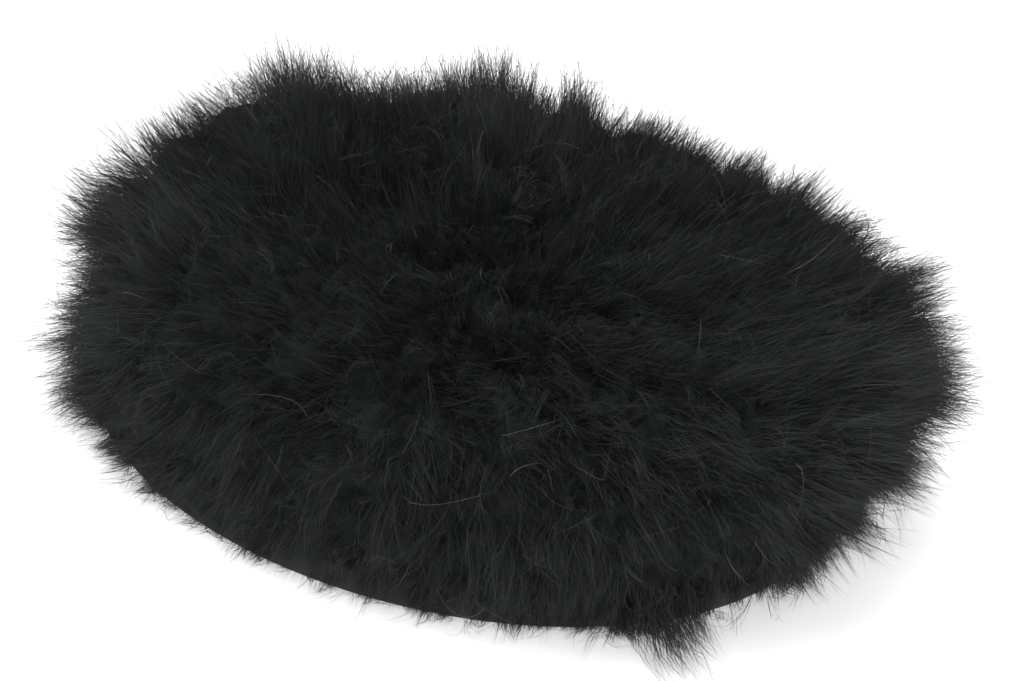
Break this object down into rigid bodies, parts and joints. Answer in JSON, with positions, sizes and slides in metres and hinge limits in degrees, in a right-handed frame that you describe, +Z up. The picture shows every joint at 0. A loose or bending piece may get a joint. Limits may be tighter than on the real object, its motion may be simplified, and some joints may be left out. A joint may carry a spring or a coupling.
{
  "type": "feather hat",
  "caption": "Brimless black felt hat covered all over with rows of black marabou plumes, open below for the head.",
  "frame": {"origin": "middle of the opening for the head, on the surface that the rim rests on", "axes": "+X towards the back of the hat, +Y towards the wearer's right, +Z up"},
  "size_m": [0.2322, 0.1971, 0.0768],
  "materials": {
    "felt": "matt wool felt",
    "ribbon": "smooth ribbon with a low sheen",
    "marabou": "soft down, matt with a few glossy hairs"
  },
  "bodies": {
    "root": {"felt_cap": "felt", "edge_ribbon": "ribbon", "marabou_row_1": "marabou", "marabou_row_2": "marabou", "marabou_row_3": "marabou", "marabou_row_4": "marabou", "marabou_row_5": "marabou", "marabou_row_6": "marabou", "marabou_crown": "marabou"}
  },
  "joints": []
}
